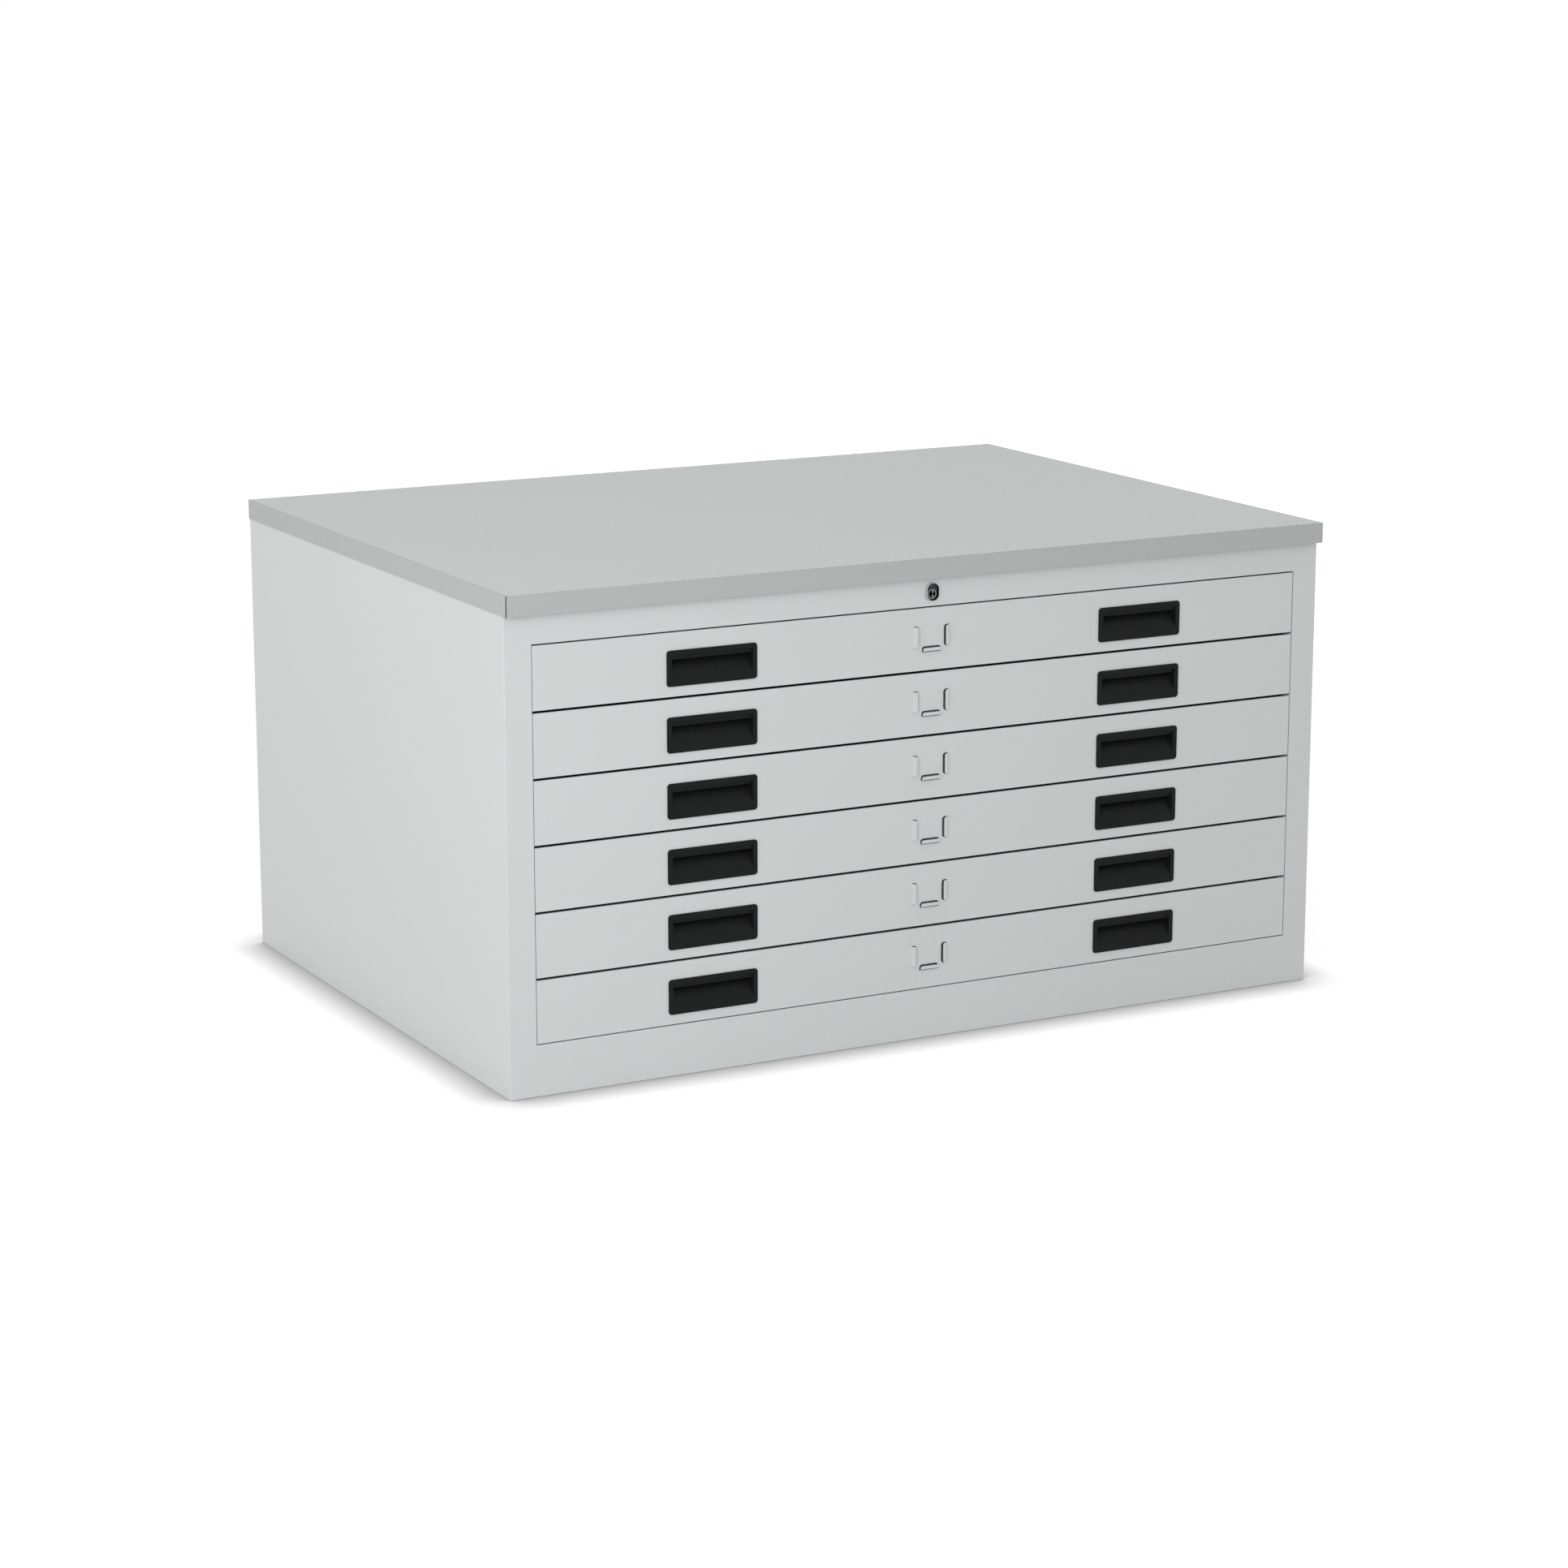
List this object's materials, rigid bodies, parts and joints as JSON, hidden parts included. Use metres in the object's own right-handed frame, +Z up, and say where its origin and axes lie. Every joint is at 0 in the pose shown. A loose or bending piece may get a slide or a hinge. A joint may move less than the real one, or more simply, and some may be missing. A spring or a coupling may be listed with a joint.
{
  "type": "flat file cabinet",
  "caption": "Sheet-steel plan chest with shallow sliding drawers, recessed pulls, a gang lock in the top rail and an edge-banded worktop.",
  "frame": {"origin": "on the floor under the middle of the worktop", "axes": "+X to the cabinet's right as its front is seen, -Y out of the front where the drawers open, +Z up"},
  "size_m": [1.102, 0.802, 0.585],
  "materials": {
    "body_paint": "light grey satin powder coat on sheet steel",
    "worktop_laminate": "mid-light grey matt laminate on board",
    "edge_band": "mid-light grey matt edge band",
    "runner_steel": "plain galvanised steel",
    "pull_plastic": "fine-textured black moulded plastic",
    "lock_chrome": "polished chrome plate",
    "lock_steel": "zinc-plated steel"
  },
  "bodies": {
    "cabinet": {"worktop_board": "worktop_laminate", "worktop_edge_front": "edge_band", "worktop_edge_back": "edge_band", "worktop_edge_left": "edge_band", "worktop_edge_right": "edge_band", "left_side_panel": "body_paint", "right_side_panel": "body_paint", "back_panel": "body_paint", "base_pan": "body_paint", "top_pan": "body_paint", "plinth_rail": "body_paint", "top_rail": "body_paint", "front_upright_left": "runner_steel", "front_upright_right": "runner_steel", "rear_upright_left": "runner_steel", "rear_upright_right": "runner_steel", "drawer_1_runner_left": "runner_steel", "drawer_1_runner_right": "runner_steel", "drawer_2_runner_left": "runner_steel", "drawer_2_runner_right": "runner_steel", "drawer_3_runner_left": "runner_steel", "drawer_3_runner_right": "runner_steel", "drawer_4_runner_left": "runner_steel", "drawer_4_runner_right": "runner_steel", "drawer_5_runner_left": "runner_steel", "drawer_5_runner_right": "runner_steel", "drawer_6_runner_left": "runner_steel", "drawer_6_runner_right": "runner_steel", "lock_housing": "lock_chrome", "lock_nut": "lock_steel", "lock_rod_bearing": "runner_steel", "lock_bar_guide_lower": "runner_steel", "lock_bar_guide_upper": "runner_steel"},
    "lock_cylinder": {"lock_plug": "lock_chrome", "lock_rod": "lock_steel"},
    "gang_bar": {"lock_bar": "lock_steel"},
    "drawer_1": {"drawer_1_tray": "body_paint", "drawer_1_front": "body_paint", "drawer_1_pull_left": "pull_plastic", "drawer_1_pull_right": "pull_plastic"},
    "drawer_2": {"drawer_2_tray": "body_paint", "drawer_2_front": "body_paint", "drawer_2_pull_left": "pull_plastic", "drawer_2_pull_right": "pull_plastic"},
    "drawer_3": {"drawer_3_tray": "body_paint", "drawer_3_front": "body_paint", "drawer_3_pull_left": "pull_plastic", "drawer_3_pull_right": "pull_plastic"},
    "drawer_4": {"drawer_4_tray": "body_paint", "drawer_4_front": "body_paint", "drawer_4_pull_left": "pull_plastic", "drawer_4_pull_right": "pull_plastic"},
    "drawer_5": {"drawer_5_tray": "body_paint", "drawer_5_front": "body_paint", "drawer_5_pull_left": "pull_plastic", "drawer_5_pull_right": "pull_plastic"},
    "drawer_6": {"drawer_6_tray": "body_paint", "drawer_6_front": "body_paint", "drawer_6_pull_left": "pull_plastic", "drawer_6_pull_right": "pull_plastic"}
  },
  "joints": [
    {"name": "drawer_1_slide", "type": "slide", "parent": "cabinet", "child": "drawer_1", "axis": [0, -1, 0], "range_m": [0, 0.55]},
    {"name": "drawer_2_slide", "type": "slide", "parent": "cabinet", "child": "drawer_2", "axis": [0, -1, 0], "range_m": [0, 0.55]},
    {"name": "drawer_3_slide", "type": "slide", "parent": "cabinet", "child": "drawer_3", "axis": [0, -1, 0], "range_m": [0, 0.55]},
    {"name": "drawer_4_slide", "type": "slide", "parent": "cabinet", "child": "drawer_4", "axis": [0, -1, 0], "range_m": [0, 0.55]},
    {"name": "drawer_5_slide", "type": "slide", "parent": "cabinet", "child": "drawer_5", "axis": [0, -1, 0], "range_m": [0, 0.55]},
    {"name": "drawer_6_slide", "type": "slide", "parent": "cabinet", "child": "drawer_6", "axis": [0, -1, 0], "range_m": [0, 0.55]},
    {"name": "lock_turn", "type": "hinge", "parent": "cabinet", "child": "lock_cylinder", "pos_m": [0, -0.39, 0.5405], "axis": [0, 1, 0], "range_deg": [0, 90]},
    {"name": "gang_bar_lift", "type": "slide", "parent": "cabinet", "child": "gang_bar", "axis": [0, 0, 1], "range_m": [0, 0.0113]}
  ],
  "couplings": [
    {"joint": "lock_turn", "follows": "gang_bar_lift", "rad_per_m": 138.8}
  ]
}
